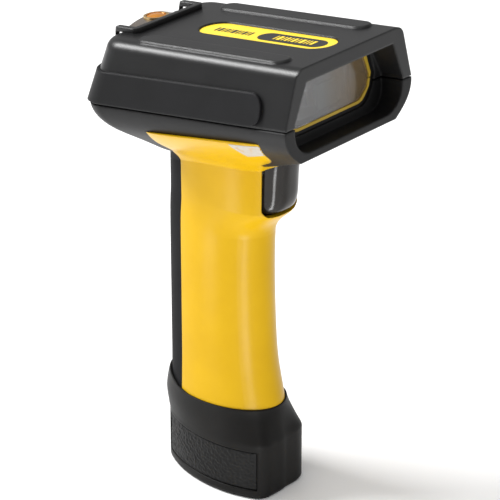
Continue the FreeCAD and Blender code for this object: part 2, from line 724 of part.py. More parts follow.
# The boot above its straight walls: height, half width, front end, rear end, and the share of the
# outline against a plain oval.
BOOT = ((22.5, 18.0, -28.5, 28.6, 1.0), (25.0, 17.9, -28.0, 29.2, 0.9), (28.0, 17.7, -27.2, 29.6, 0.66),
        (31.0, 17.45, -26.5, 29.8, 0.44), (34.0, 17.2, -25.8, 29.4, 0.24), (37.0, 17.1, -25.3, 28.7, 0.12),
        (40.5, 17.0, -24.8, 27.7, 0.03), (44.0, 16.9, -24.4, 27.2, 0.0))
PANEL_LOW, PANEL_HIGH = 3.8, 20.8
PANEL_FRONT, PANEL_REAR = -25.6, 23.6
CONTACTS = (-6.0, 0.0, 6.0)


def boot_ring(name, half, front, rear, level, share=1.0):
    """A level section of the boot, between a plain oval (share 0) and its full outline (share 1)."""
    half, front, rear = (size(value).value for value in (half, front, rear))
    middle, reach = (front + rear) / 2, (rear - front) / 2
    ends = OUTLINE[0][1], OUTLINE[-1][1]
    points = []
    for x, y in OUTLINE + tuple((-x, y) for x, y in OUTLINE[-2:0:-1]):
        x *= half / S["boot_half"].value
        y = (2 * (y - ends[0]) / (ends[1] - ends[0]) - 1) * reach
        oval = 1 / math.hypot(x / half, y / reach)
        scale = share + (1 - share) * oval
        points.append(V(x * scale, y * scale + middle, size(level).value))
    curve = Part.BSplineCurve()
    curve.interpolate(Points=points, PeriodicFlag=True)
    joins = [curve.parameter(points[i]) for i in (0, 7, 13, 19)]
    joins = [curve.FirstParameter] + joins[1:] + [curve.LastParameter]
    obj = doc.addObject("Part::Feature", name)
    obj.Shape = Part.Wire([curve.toShape(start, end) for start, end in zip(joins, joins[1:])])
    return obj


def boot_plan(name, inset, low, high):
    """The boot's straight lower walls as a prism, moved in by inset."""
    outline = boot_ring(name + "Plan", S["boot_half"] - inset, S["boot_front"] + inset,
                        S["boot_rear"] - inset, low)
    return plan_prism(name, outline, size(high) - low)


def panel_box(name, side, shrink):
    near, far = (-40, -5) if side < 0 else (5, 40)
    return box(name, (near, far), (PANEL_FRONT + shrink, PANEL_REAR - shrink),
               (PANEL_LOW + shrink, PANEL_HIGH - shrink))


def make_boot():
    """The rubber boot that closes the foot of the handle, its grip panels, pad, screw and contacts."""
    walls = boot_plan("BootWalls", 0, 1.2, BOOT[0][0])
    shoulder = loft("BootShoulder", [boot_ring(f"BootSection{i}", half, front, rear, level, share)
                                     for i, (level, half, front, rear, share) in enumerate(BOOT)])
    foot = loft("BootFoot", [
        boot_ring("BootSole", S["boot_half"] - 0.7, S["boot_front"] + 0.7, S["boot_rear"] - 0.7, 0),
        boot_ring("BootSoleTop", S["boot_half"], S["boot_front"], S["boot_rear"], 1.2),
    ], ruled=True)
    brim = side_prism("BootBrim", [(-60, 36.2), (8, 36.6), (14, 37.4), (19, 39.0), (24, 40.8), (60, 41.5),
                                   (60, 60), (-60, 60)], 60)
    inner = boot_plan("BootCavity", S["boot_wall"], 2.8, 26.0)
    throat = plan_prism("BootThroat", egg("ThroatPlan", 13.9, -21.8, 23.2, 25.5), 15.0)
    sole_pocket = boot_plan("SolePocket", 4.0, -1, 1.2)
    reach = box("SocketReach", (-60, 60), (-60, 60), (S["handle_foot"] - 0.4, 60))
    socket = common("BootSocket", doc.getObject("Grip"), reach)
    core = boot_plan("PanelCore", 0.8, 0, 30)
    recesses = [cut(f"PanelRecess{i}", panel_box(f"PanelBox{i}", side, 0), core)
                for i, side in enumerate((-1, 1))]
    screw_y = -17.0
    screw_hole = rod("CapScrewHole", 1.7, (0, screw_y, -1), 10)
    screw_well = rod("CapScrewWell", 4.6, (0, screw_y, -1), 3.6)
    screw_tower = cut("CapScrewTower", rod("CapScrewBoss", 6.4, (0, screw_y, 1.2), 3.4), screw_well)
    contact_holes = [rod(f"ContactHole{i}", 1.6, (x, 14, -1), 8) for i, x in enumerate(CONTACTS)]
    solid = fuse("BootBlock", walls, shoulder, foot)
    block = cut("BootHollow", solid, brim, inner, throat, socket, sole_pocket, *recesses)
    boot = cut("BaseBoot", fuse("BootTowered", block, screw_tower), screw_well, screw_hole, *contact_holes)
    piece("base_boot", boot)

    skin = cut("PanelSkin", boot_plan("PanelOuter", 0.35, 0, 30), core)
    panels = [common(f"Panel{i}", panel_box(f"PanelTrim{i}", side, 0.35), skin)
              for i, side in enumerate((-1, 1))]
    piece("boot_grip_panels", fuse("BootGripPanels", *panels))

    pad = cut("BasePad", boot_plan("PadBlock", 4.1, 0, 1.2),
              rod("PadWell", 6.6, (0, screw_y, -1), 5),
              *[rod(f"PadHole{i}", 2.2, (x, 14, -1), 5) for i, x in enumerate(CONTACTS)])
    piece("base_pad", pad)
    head = cut("CapScrewHead", rod("CapScrewDisc", 4.2, (0, screw_y, 0.5), 2.1),
               box("CapScrewSlot", (-5, 5), (screw_y - 0.6, screw_y + 0.6), (0, 1.4)))
    piece("cap_screw", fuse("CapScrew", head, rod("CapScrewShank", 1.5, (0, screw_y, 2.6), 40.0)))
    contacts = []
    for i, x in enumerate(CONTACTS):
        contacts.append(rod(f"ContactPin{i}", 1.6, (x, 14, 0.4), 3.2))
    piece("charging_contacts", fuse("ChargingContacts", *contacts))


def make_battery():
    """Battery pack in the handle, the sprung contact board above it and the lead to the head."""
    block = box("BatteryBlock", (-10.4, 10.4), (-12.0, 17.6), (6.0, 92.0))
    pack = fillet("BatteryPack", block, 4.5,
                  lambda mid, edge: abs(edge.tangentAt(edge.FirstParameter).z) > 0.9)
    piece("battery_pack", pack)
    board = box("ContactBoard", (-9, 9), (-8, 12), (96.0, 97.6))
    pins = [rod(f"SpringPin{i}", 0.9, (x, 3, 92.0), 4.0) for i, x in enumerate((-5, 0, 5))]
    piece("battery_contacts", fuse("BatteryContacts", board, *pins))
    piece("battery_lead", rod("BatteryLead", 1.4, (-7, 5, 97.6), 50.2))


# ---------------------------------------------------------------- trigger

# Plan sizes up the trigger: height, half width, front end.
TRIGGER = ((120.2, 8.4, -26.6), (121.0, 9.2, -28.3), (122.9, 9.7, -29.7), (126.0, 9.9, -30.6),
           (131.0, 9.9, -31.0), (137.0, 9.9, -31.4), (142.6, 9.9, -31.8))


def make_trigger():
    """Glossy trigger on a cross pin, with its torsion spring and the switch behind it."""
    half, y, z = S["trigger_half"], S["pivot_y"], S["pivot_z"]
    body = loft("TriggerBlank", [egg(f"TriggerPlan{i}", width, front, 4.0, level, widest=-18, power=(2.5, 2.0))
                                 for i, (level, width, front) in enumerate(TRIGGER)])
    face = common("TriggerFace", body, box("TriggerRear", (-20, 20), (-60, -18.6), (100, 160)),
                  trigger_window("TriggerTrim", spread=-S["trigger_gap"], back=30))
    hollow = box("TriggerHollow", (-6.0, 6.0), (-26.2, 0), (125.1, 133.5))
    hub = rod("TriggerHub", 3.5, (-half, y, z), half * 2, "x")
    actuator = box("TriggerActuator", (-1.6, 1.6), (-28.2, -18.6), (124.1, 127.5))
    bore = rod("TriggerBore", S["pin_radius"] + S["pin_clearance"], (-20, y, z), 40, "x")
    spring_gap = rod("SpringGap", 4.6, (-3.6, y, z), 7.2, "x")
    spring_slot = box("SpringSlot", (-3.6, 3.6), (y, -10), (130, 150))
    body = fuse("TriggerBody", cut("TriggerShell", face, hollow), hub, actuator)
    piece("trigger", cut("Trigger", body, bore, spring_gap, spring_slot))
    piece("trigger_pin", rod("TriggerPin", S["pin_radius"], (-PIN_REACH, y, z), 2 * PIN_REACH, "x"))

    helix = doc.addObject("Part::Helix", "SpringHelix")
    helix.Pitch = 1.0
    helix.Height = 5.0
    helix.Radius = 2.6
    helix.Placement = App.Placement(V(-2.5, y.value, z.value), AXES["x"])
    wire = doc.addObject("Part::Circle", "SpringWire")
    wire.Radius = 0.32
    wire.Placement = App.Placement(V(-2.5, y.value, z.value - 2.6), App.Rotation(V(1, 0, 0), 90))
    sweep = doc.addObject("Part::Sweep", "TriggerSpring")
    sweep.Sections = [wire]
    sweep.Spine = (helix, [])
    sweep.Solid = True
    sweep.Frenet = True
    piece("trigger_spring", sweep)

    case = box("SwitchCase", (-4, 4), (-14.4, -9.6), (122.0, 129.5))
    plunger = rod("SwitchPlunger", 1.2, (0, -16.2, 125.8), 1.8, "y")
    piece("trigger_switch", fuse("TriggerSwitch", case, plunger))
    piece("switch_board", common("SwitchBoard", box("SwitchPlate", (-14, 14), (-9.6, -8.2), (116, 133)),
                                 doc.getObject("GripInner")))


# ---------------------------------------------------------------- scan engine and boards (head frame)

def make_engine():
    """Scan engine: tray, laser, turning mirror on its pin, coil, collecting mirror and photodiode."""
    tray = box("TrayFloor", (-25, 25), (-60.5, -30), (-9.6, -7.6))
    sides = [box(f"TraySide{i}", (x, x + 1.6), (-60.5, -30), (-7.6, 9.0)) for i, x in enumerate((-25, 23.4))]
    bore = rod("TrayPinHole", 0.8, (4, -50, -12), 10)
    piece("engine_chassis", cut("EngineChassis", fuse("EngineTray", tray, *sides), bore), HEAD)
    piece("mirror_pin", rod("MirrorPin", 0.8, (4, -50, -9.6), 14.0), HEAD)

    plate = doc.addObject("Part::Box", "MirrorPlate")
    plate.Length = 1.2
    plate.Width = 12.0
    plate.Height = 9.0
    turn = App.Rotation(V(0, 0, 1), 45)
    plate.Placement = App.Placement(V(4, -50, -6.2) + turn.multVec(V(-2.6, -6, 0)), turn)
    hub = rod("MirrorHub", 2.0, (4, -50, -6.8), 10.4)
    mirror = cut("ScanMirror", fuse("MirrorBody", plate, hub), rod("MirrorBore", 0.85, (4, -50, -12), 30))
    piece("scan_mirror", mirror, HEAD)

    concave = cut("CollectingMirror", box("MirrorBlock", (-18, 18), (-40, -33), (-7.6, 8.5)),
                  rod("MirrorScoop", 42, (0, -78.5, -20), 60))
    piece("collecting_mirror", concave, HEAD)
    piece("mirror_coil", rod("MirrorCoil", 3.4, (15, -52, -7.6), 6.0), HEAD)
    saddle = box("LaserCradle", (-20, -10), (-53.4, -46.6), (-7.6, -4.0))
    barrel = rod("LaserBarrel", 3.0, (-21, -50, -1.6), 13.0, "x")
    piece("laser_module", fuse("LaserModule", saddle, barrel), HEAD)
    sensor = box("SensorBoard", (8, 20), (-59.8, -58.4), (-7.6, 2.0))
    chip = rod("SensorLens", 2.6, (14, -58.4, -2.0), 2.0, "y")
    piece("photodiode", fuse("Photodiode", sensor, chip), HEAD)


def make_boards():
    """Main board with its beeper, the radio board on posts and the board under the indicator lens."""
    piece("main_board", box("MainBoard", (-22, 22), (-60, -2), (-13.2, -11.6)), HEAD)
    spacers = [rod(f"Spacer{i}", 2.0, (x, y, -11.6), 2.0)
               for i, (x, y) in enumerate(((-18, -56), (18, -56), (-18, -34), (18, -34)))]
    piece("chassis_spacers", fuse("ChassisSpacers", *spacers), HEAD)
    piece("beeper", rod("Beeper", 6.0, (0, -12, -11.6), 5.0), HEAD)
    posts = [rod(f"RadioPost{i}", 1.5, (x, y, -11.6), 13.6)
             for i, (x, y) in enumerate(((-13, -25), (13, -25), (-13, -6), (13, -6)))]
    piece("radio_posts", fuse("RadioPosts", *posts), HEAD)
    can = box("RadioCan", (-8, 8), (-22, -10), (3.4, 6.0))
    piece("radio_board", fuse("RadioBoard", box("RadioPlate", (-15, 15), (-27, -4), (2.0, 3.4)), can), HEAD)
    led = rod("StatusLed", 1.6, (0, 7.0, 13.6), 2.6)
    piece("indicator_led", fuse("IndicatorLed", box("LedPlate", (-9, 9), (3.2, 9.4), (12.2, 13.6)), led), HEAD)


def make_screws():
    """The screws that hold the head together and the rear strip to the handle."""
    radius, head = S["screw_radius"], S["screw_head_radius"]
    screws = []
    for index, (x, y) in enumerate(HEAD_BOSSES):
        shank = rod(f"HeadShank{index}", radius, (x, y, -4.5), 12.0)
        cap = rod(f"HeadCap{index}", head, (x, y, -6.5), 2.0)
        recess = rod(f"HeadDrive{index}", 1.2, (x, y, -6.6), 1.3)
        screws.append(cut(f"HeadScrew{index}", fuse(f"HeadScrewBody{index}", shank, cap), recess))
    piece("head_screws", fuse("HeadScrews", *screws), HEAD)
    height = HANDLE_SCREWS[0]
    shank = rod("BackShank", radius, (0, 9.5, height), 13.1, "y")
    cap = rod("BackCap", head, (0, 22.6, height), 1.9, "y")
    recess = rod("BackDrive", 1.2, (0, 23.4, height), 2.0, "y")
    piece("handle_screw", cut("HandleScrew", fuse("HandleScrewBody", shank, cap), recess))


def check_and_export():
    """Stop on any failed object, then write every sub-part."""
    doc.recompute()
    failed = [obj.Name for obj in doc.Objects if "Invalid" in obj.State or "Error" in obj.State]
    if failed:
        raise RuntimeError(f"these objects failed: {failed}")
    os.makedirs("parts", exist_ok=True)
    for node, obj in pieces:
        shape = obj.Shape
        if shape.isNull() or not shape.isValid():
            raise RuntimeError(f"{node} is not a valid shape")
        shape.exportStep(f"parts/{node}.step")
        print(f"{node:24s} {len(shape.Solids)} solid(s) {shape.Volume:10.1f} mm3")


make_upper_cover()
make_lower_shell()
make_head_seal()
make_side_bumper()
make_window_parts()
make_name_label()
make_indicator()
make_handle()
make_boot()
make_battery()
make_trigger()
make_engine()
make_boards()
make_screws()
check_and_export()
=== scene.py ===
import json
import math

import bmesh
import bpy
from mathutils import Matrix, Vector, noise as fractal
from mathutils.bvhtree import BVHTree


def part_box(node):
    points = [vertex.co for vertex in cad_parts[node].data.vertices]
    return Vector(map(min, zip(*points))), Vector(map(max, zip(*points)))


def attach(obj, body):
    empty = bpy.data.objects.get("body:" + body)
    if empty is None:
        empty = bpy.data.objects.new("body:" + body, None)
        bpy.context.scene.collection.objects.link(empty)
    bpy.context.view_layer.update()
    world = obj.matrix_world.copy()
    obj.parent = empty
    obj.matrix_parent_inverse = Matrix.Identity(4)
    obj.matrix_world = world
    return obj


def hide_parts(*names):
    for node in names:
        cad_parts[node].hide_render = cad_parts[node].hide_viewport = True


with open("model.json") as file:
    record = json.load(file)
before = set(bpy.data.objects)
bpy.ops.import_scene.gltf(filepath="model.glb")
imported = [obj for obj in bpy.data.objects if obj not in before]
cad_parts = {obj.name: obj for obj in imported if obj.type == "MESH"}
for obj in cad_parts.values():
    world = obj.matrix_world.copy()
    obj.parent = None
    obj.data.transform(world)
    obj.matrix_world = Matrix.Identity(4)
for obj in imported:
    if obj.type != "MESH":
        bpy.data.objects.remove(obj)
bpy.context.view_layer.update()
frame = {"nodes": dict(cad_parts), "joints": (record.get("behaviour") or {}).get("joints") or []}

# The scene dresses a handheld barcode scanner, adds its print, label and stippled panels, and
# lights it. Lengths are in metres unless MM multiplies them.

MM = 0.001
HAIR = 0.00002           # keeps print and paper clear of the face below
INK_THICKNESS = 0.00006
OVER_INK = 0.00007       # where print that lies on top of ink starts
ACRYLIC_IOR = 1.49
MIRROR_PIN = (4, -50, -2)    # millimetres across, rearward and up in the head's own frame


# ---------------------------------------------------------------- materials

class Look:
    """A procedural material: its Principled shader and the nodes that feed it."""

    def __init__(self, name):
        self.material = bpy.data.materials.new(name)
        self.material.use_nodes = True
        self.nodes = self.material.node_tree.nodes
        self.link = self.material.node_tree.links.new
        self.shader = self.nodes["Principled BSDF"]
        self.coords = self.add("ShaderNodeTexCoord").outputs["Object"]

    def add(self, kind, values=None):
        """Add a node, and set its inputs or its own settings by name."""
        node = self.nodes.new(kind)
        for key, value in (values or {}).items():
            if key in node.inputs:
                node.inputs[key].default_value = value
            else:
                setattr(node, key, value)
        return node

    def even(self, values):
        """Set shader inputs that are the same all over the surface."""
        for key, value in values.items():
            self.shader.inputs[key].default_value = value

    def noise(self, scale, detail=3.0, roughness=0.5):
        """A noise factor in the object's own space."""
        settings = {"Scale": scale, "Detail": detail, "Roughness": roughness}
        node = self.add("ShaderNodeTexNoise", settings)
        self.link(self.coords, node.inputs["Vector"])
        return node.outputs["Fac"]

    def colour(self, factor, stops):
        """Colour the surface by a factor, through two or more (position, colour) stops."""
        node = self.add("ShaderNodeValToRGB")
        elements = node.color_ramp.elements
        while len(elements) < len(stops):
            elements.new(0.5)
        for element, (position, colour) in zip(elements, stops):
            element.position = position
            element.color = (*colour, 1)
        self.link(factor, node.inputs["Fac"])
        self.link(node.outputs["Color"], self.shader.inputs["Base Color"])

    def gloss(self, factor, low, high):
        """Let the roughness run from low to high with a factor."""
        node = self.add("ShaderNodeMapRange", {"To Min": low, "To Max": high})
        self.link(factor, node.inputs["Value"])
        self.link(node.outputs["Result"], self.shader.inputs["Roughness"])

    def bump(self, factor, depth, edge):
        """Shade a relief of some depth from a factor, and round the edges to a radius, if any."""
        node = self.add("ShaderNodeBump", {"Strength": 1.0, "Distance": depth})
        self.link(factor, node.inputs["Height"])
        if edge:
            soft = self.add("ShaderNodeBevel", {"samples": 4, "Radius": edge})
            self.link(soft.outputs["Normal"], node.inputs["Normal"])
        self.link(node.outputs["Normal"], self.shader.inputs["Normal"])


def moulded(name, dark, light, rough=(0.42, 0.55), grain=2600.0, grain_depth=0.000012,
            specular=0.5, edge=0.0):
    """Moulded plastic or rubber: slow tone changes, a fine grain, uneven gloss and soft edges."""
    look = Look(name)
    look.colour(look.noise(45.0, detail=4.0, roughness=0.55), [(0.32, dark), (0.68, light)])
    fine = look.noise(grain, detail=2.0, roughness=0.6)
    look.gloss(fine, *rough)
    look.bump(fine, grain_depth, edge)
    look.even({"Specular IOR Level": specular})
    return look.material


def metal(name, dark, light, rough=(0.22, 0.38), scale=900.0):
    """Plated or machined metal with fine marks."""
    look = Look(name)
    marks = look.noise(scale, detail=5.0, roughness=0.65)
    look.colour(marks, [(0.35, dark), (0.65, light)])
    look.gloss(marks, *rough)
    look.even({"Metallic": 1.0})
    return look.material


def hazy_plastic(name, rough, transmission, spread=0.05):
    """Clear plastic with an uneven haze, still without a colour, and the haze's factor."""
    look = Look(name)
    haze = look.noise(160.0, detail=4.0, roughness=0.6)
    look.gloss(haze, rough, rough + spread)
    look.even({"Transmission Weight": transmission, "IOR": ACRYLIC_IOR})
    return look, haze


def glassy(name, tint, rough, transmission):
    """Clear plastic of one tint, a little darker in places."""
    look, haze = hazy_plastic(name, rough, transmission)
    look.colour(haze, [(0.3, tuple(value * 0.9 for value in tint)), (0.7, tint)])
    return look.material


def scan_glass():
    """The scan window: clear plastic, greyed by dust, with a blotchy warm cast towards +X."""
    look, _ = hazy_plastic("ScanGlass", rough=0.05, transmission=0.75, spread=0.10)
    low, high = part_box("scan_window")
    cast_start, cast_full = low[0] * 0.3, high[0] * 0.8
    split = look.add("ShaderNodeSeparateXYZ")
    across = look.add("ShaderNodeMapRange", {"From Min": cast_start, "From Max": cast_full})
    blotch = look.add("ShaderNodeMath", {"operation": "MULTIPLY"})
    look.link(look.coords, split.inputs["Vector"])
    look.link(split.outputs["X"], across.inputs["Value"])
    look.link(across.outputs["Result"], blotch.inputs[0])
    look.link(look.noise(70.0), blotch.inputs[1])
    grey, warm = (0.62, 0.62, 0.62), (0.55, 0.40, 0.22)
    look.colour(blotch.outputs["Value"], [(0.12, grey), (0.55, warm)])
    return look.material


def paper(name):
    """Off-white paper with faint brown marks, none of them lettering."""
    look = Look(name)
    stops = [(0.0, (0.42, 0.40, 0.36)), (0.58, (0.40, 0.37, 0.32)),
             (0.66, (0.42, 0.31, 0.19)), (1.0, (0.36, 0.25, 0.14))]
    look.colour(look.noise(420.0, detail=2.0, roughness=0.4), stops)
    look.even({"Roughness": 0.45})
    return look.material


MATERIALS = {
    "cover": moulded("CoverPlastic", (0.007, 0.007, 0.0073), (0.011, 0.011, 0.0115),
                     rough=(0.30, 0.40), specular=0.33, edge=0.0012),
    "shell": moulded("ShellPlastic", (0.006, 0.006, 0.0063), (0.010, 0.010, 0.0105),
                     rough=(0.40, 0.52), specular=0.20, edge=0.0012),
    "bumper": moulded("BumperRubber", (0.005, 0.005, 0.0055), (0.008, 0.008, 0.009),
                      rough=(0.44, 0.58), specular=0.19, edge=0.0008),
    "strip": moulded("StripRubber", (0.005, 0.005, 0.0055), (0.009, 0.009, 0.010),
                     rough=(0.62, 0.74), specular=0.07, edge=0.0006),
    "yellow": moulded("HandleYellow", (0.54, 0.315, 0.002), (0.58, 0.345, 0.003),
                      rough=(0.26, 0.34), grain_depth=0.000004, specular=0.15, edge=0.0005),
    "boot": moulded("BootRubber", (0.004, 0.0037, 0.0034), (0.0075, 0.007, 0.0065),
                    rough=(0.40, 0.52), specular=0.15, edge=0.0010),
    "panel": moulded("PanelRubber", (0.006, 0.006, 0.006), (0.012, 0.012, 0.012),
                     rough=(0.35, 0.6), grain=1400.0, grain_depth=0.00003, specular=0.16),
    "trigger": moulded("TriggerGloss", (0.010, 0.008, 0.007), (0.014, 0.012, 0.010),
                       rough=(0.10, 0.16), grain_depth=0.000001, specular=0.34, edge=0.0006),
    "gasket": moulded("GasketYellow", (0.55, 0.36, 0.03), (0.66, 0.44, 0.04), rough=(0.4, 0.5)),
    "label": moulded("LabelYellow", (0.93, 0.66, 0.03), (0.97, 0.70, 0.04), rough=(0.3, 0.4),
                     grain_depth=0.000003),
    "ink": moulded("LabelInk", (0.010, 0.010, 0.010), (0.016, 0.016, 0.016), rough=(0.3, 0.4),
                   grain_depth=0.000002),
    "paper": paper("RatingPaper"),
    "window": scan_glass(),
    "smoke": glassy("SmokedPlate", (0.17, 0.145, 0.125), rough=0.10, transmission=0.35),
    "amber": glassy("AmberLens", (0.80, 0.30, 0.02), rough=0.06, transmission=0.45),
    "brass": metal("RingBrass", (0.62, 0.42, 0.18), (0.80, 0.58, 0.28)),
    "steel": metal("PlatedSteel", (0.45, 0.45, 0.46), (0.62, 0.62, 0.64)),
    "gold": metal("PlatedGold", (0.75, 0.52, 0.18), (0.88, 0.66, 0.28)),
    "battery": moulded("BatteryWrap", (0.02, 0.03, 0.10), (0.03, 0.05, 0.16), rough=(0.25, 0.35)),
    "board": moulded("SolderMask", (0.01, 0.09, 0.035), (0.02, 0.13, 0.05), rough=(0.25, 0.4)),
    "alloy": metal("CastAlloy", (0.42, 0.43, 0.45), (0.56, 0.57, 0.60), rough=(0.35, 0.55),
                   scale=500.0),
    "mirror": metal("MirrorCoat", (0.86, 0.88, 0.90), (0.92, 0.93, 0.95), rough=(0.02, 0.05),
                    scale=60.0),
    "inner": moulded("InnerPlastic", (0.005, 0.005, 0.005), (0.010, 0.010, 0.010), specular=0.3),
}

NODE_MATERIALS = {
    "upper_cover": "cover", "lower_shell": "shell", "head_seal": "inner",
    "side_bumper": "bumper", "window_bezel": "inner", "window_gasket_upper": "gasket",
    "window_gasket_lower": "gasket", "scan_window": "window", "name_label": "label",
    "indicator_rim": "cover", "indicator_plate": "smoke", "indicator_lens": "amber",
    "lens_ring": "brass", "indicator_screws": "steel", "indicator_led": "board",
    "head_screws": "steel",
    "handle_shell": "yellow", "handle_back": "strip", "handle_screw": "steel",
    "battery_pack": "battery", "battery_contacts": "board", "battery_lead": "inner",
    "base_boot": "boot", "boot_grip_panels": "panel", "base_pad": "bumper",
    "cap_screw": "steel", "charging_contacts": "gold",
    "trigger": "trigger", "trigger_pin": "steel", "trigger_spring": "steel",
    "trigger_switch": "inner", "switch_board": "board",
    "engine_chassis": "alloy", "mirror_pin": "steel", "scan_mirror": "mirror",
    "collecting_mirror": "mirror", "mirror_coil": "gold", "laser_module": "brass",
    "photodiode": "board", "main_board": "board", "chassis_spacers": "steel",
    "beeper": "inner", "radio_posts": "steel", "radio_board": "board",
}


def dress_nodes():
    """Give every CAD node its material."""
    for node, obj in frame["nodes"].items():
        obj.data.materials.clear()
        obj.data.materials.append(MATERIALS[NODE_MATERIALS[node]])


# ---------------------------------------------------------------- pieces

def tree_of(node):
    """A ray-casting tree of a CAD node's own mesh."""
    work = bmesh.new()
    work.from_mesh(frame["nodes"][node].data)
    tree = BVHTree.FromBMesh(work)
    work.free()
    return tree


def add_piece(name, work, material, body="housing"):
    """Turn a bmesh into a piece that rides on a body."""
    bmesh.ops.recalc_face_normals(work, faces=work.faces)
    mesh = bpy.data.meshes.new(name)
    work.to_mesh(mesh)
    work.free()
    mesh.materials.append(MATERIALS[material])
    obj = bpy.data.objects.new(name, mesh)
    bpy.context.collection.objects.link(obj)
    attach(obj, body)
    return obj


def printed(work, outline, to_space):
    """A thin printed shape, from its outline in label millimetres."""
    foot, top = ([work.verts.new(to_space(x, y, lift)) for x, y in outline]
                 for lift in (0.0, INK_THICKNESS))
    work.faces.new(foot)
    work.faces.new(top)
    for index in range(len(outline)):
        following = (index + 1) % len(outline)
        work.faces.new((foot[index], foot[following], top[following], top[index]))


def pill(centre, length, width, steps=14):
    """The outline of a round-ended bar, long along y."""
    radius = width / 2
    reach = length / 2 - radius
    outline = []
    for middle, start in ((centre + reach, 0.0), (centre - reach, math.pi)):
        for step in range(steps + 1):
            turn = start + math.pi * step / steps
            outline.append((radius * math.cos(turn), middle + radius * math.sin(turn)))
    return outline


def bars(first, gap, half, widths):
    """Outlines of a run of bars lying across the label, each as wide as its entry says."""
    outlines = []
    for width in widths:
        last = first + width
        outlines.append([(-half, first), (half, first), (half, last), (-half, last)])
        first += width + gap
    return outlines


def make_label_print():
    """Generic print on the name plate: a dark pill with pale bars, and dark bars beside it."""
    low, high = (Vector(corner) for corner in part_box("name_label"))
    middle = (low + high) / 2
    above = Vector((0, middle.y, high.z + 0.01))
    point, normal, _, _ = tree_of("name_label").ray_cast(above, Vector((0, 0, -1)))
    across = Vector((1, 0, 0))
    along = normal.cross(across).normalized()
    length = (high.y - low.y) / abs(along.y) / MM

    def on_label(x, y, lift):
        return point + across * x * MM + along * y * MM + normal * (lift + HAIR)

    def on_ink(x, y, lift):
        return on_label(x, y, lift + OVER_INK)

    dark_widths = (0.9, 0.5, 1.3, 0.5, 0.9, 1.6, 0.5, 0.9, 0.5, 1.3, 0.9)
    pale_widths = (1.3, 0.6, 0.6, 1.6, 0.6, 1.3, 0.6, 1.0, 0.6, 1.6, 0.6)
    dark = bmesh.new()
    printed(dark, pill(centre=-0.19 * length, length=0.50 * length, width=8.6), on_label)
    for outline in bars(first=0.12 * length, gap=0.75, half=1.9, widths=dark_widths):
        printed(dark, outline, on_label)
    add_piece("label_print_dark", dark, "ink")
    pale = bmesh.new()
    for outline in bars(first=-0.36 * length, gap=0.8, half=2.1, widths=pale_widths):
        printed(pale, outline, on_ink)
    add_piece("label_print_pale", pale, "label")


def head_axes():
    """Origin and axes of the head's own frame, from the mirror joint that stands upright in it."""
    joint = next(joint for joint in frame["joints"] if joint["name"] == "mirror_sweep")
    up = Vector(joint["axis"]).normalized()
    across = Vector((1, 0, 0))
    rear = up.cross(across).normalized()
    pin_x, pin_y, pin_z = MIRROR_PIN
    pin = Vector(joint["pos_m"])
    origin = pin - across * pin_x * MM - rear * pin_y * MM - up * pin_z * MM
    return origin, across, rear, up


def two_skins(work, grid):
    """Quads on both skins of a grid of (outer, inner) vertices, with none where it holds None."""
    for here, onward in zip(grid, grid[1:]):
        for j in range(len(here) - 1):
            corners = [here[j], onward[j], onward[j + 1], here[j + 1]]
            if all(corners):
                work.faces.new([outer for outer, _ in corners])
                work.faces.new([inner for _, inner in reversed(corners)])


def make_rating_label():
    """Blank rating label on the left shoulder of the handle, just under the saddle's upper edge.

    It is laid out as a fan round an upright line in the head's frame: it starts as a point at
    the side, soon reaches its full depth, and tapers away towards the nose.
    """
    columns, rows = 52, 14
    fan_centre = 37.9                    # millimetres forward of the head's origin
    fan_start, fan_sweep = 25, 33        # degrees, from the left side towards the nose
    upper_edge, upper_rise = -7.3, 0.7   # millimetres in the head's frame
    point_depth, full_depth = 0.4, 7.4   # millimetres
    full_at, taper = 0.25, 0.6
    paper_thickness = 0.00012
    ray_reach = 0.08
    origin, across, rear, up = head_axes()
    tree = tree_of("handle_shell")
    work = bmesh.new()
    grid = []
    for i in range(columns + 1):
        share = i / columns
        turn = math.radians(fan_start + fan_sweep * share)
        outward = -across * math.cos(turn) - rear * math.sin(turn)
        depth = point_depth + full_depth * min(share / full_at, 1.0) * (1 - share) ** taper
        line = []
        for j in range(rows + 1):
            z = upper_edge + upper_rise * share - depth * j / rows
            start = origin - rear * fan_centre * MM + up * z * MM + outward * ray_reach
            point, normal, _, _ = tree.ray_cast(start, -outward)
            if point:
                line.append((work.verts.new(point + normal * paper_thickness),
                             work.verts.new(point + normal * HAIR)))
            else:
                line.append(None)
        grid.append(line)
    two_skins(work, grid)
    border = [edge for edge in work.edges if len(edge.link_faces) == 1]
    bmesh.ops.bridge_loops(work, edges=border)
    add_piece("rating_label", work, "paper")


def stipple(side, y, z):
    """How far the stippled rubber stands out at a place on one side of the boot."""
    coarse_scale, coarse_offset = 900.0, side * 7.0     # the offsets make the two sides differ
    fine_scale, fine_offset, fine_share = 2100.0, side * 3.0, 0.5
    lowest, highest = -0.3, 0.7
    relief, base_lift = 0.00032, 0.00006
    coarse = fractal.noise(Vector((coarse_offset, y, z)) * coarse_scale)
    fine = fractal.noise(Vector((fine_offset, y, z)) * fine_scale)
    return max(lowest, min(highest, coarse + fine_share * fine)) * relief + base_lift


